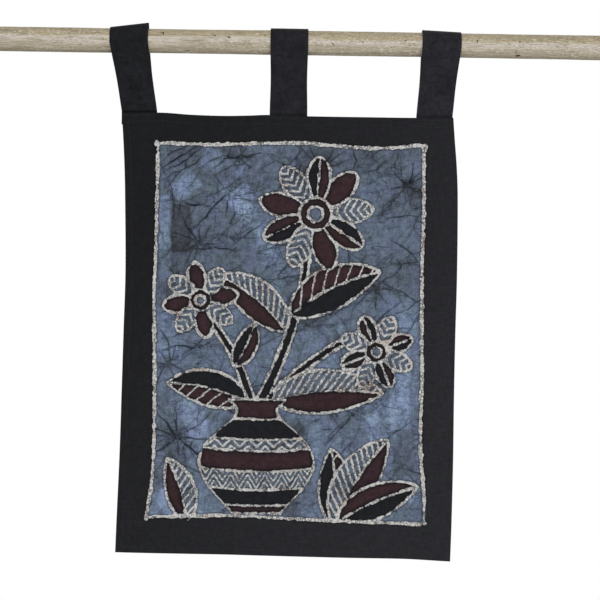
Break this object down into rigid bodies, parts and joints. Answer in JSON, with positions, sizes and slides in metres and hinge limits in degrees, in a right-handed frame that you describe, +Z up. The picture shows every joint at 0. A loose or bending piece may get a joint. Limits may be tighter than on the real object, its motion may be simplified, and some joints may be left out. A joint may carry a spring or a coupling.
{
  "type": "batik wall hanging on a wooden rod",
  "caption": "Flat dyed cotton panel with turned hems, hung by sewn tabs over a round wooden rod; the rod lies across wall brackets.",
  "frame": {"origin": "on the rod's axis, at the middle of the rod's length", "axes": "+X runs along the rod to the right as seen from the front, the face of the cloth looks along -Y, +Z is up"},
  "size_m": [0.9, 0.0368, 0.6943],
  "materials": {
    "whitewashed_wood": "whitewashed weathered softwood, matt",
    "batik_cotton": "wax resist dyed plain weave cotton, slate blue ground in a black border",
    "black_cotton": "black dyed plain weave cotton, matt"
  },
  "bodies": {
    "root": {"rod": "whitewashed_wood", "cloth": "batik_cotton", "tab_left": "black_cotton", "tab_middle": "black_cotton", "tab_right": "black_cotton"}
  },
  "joints": []
}
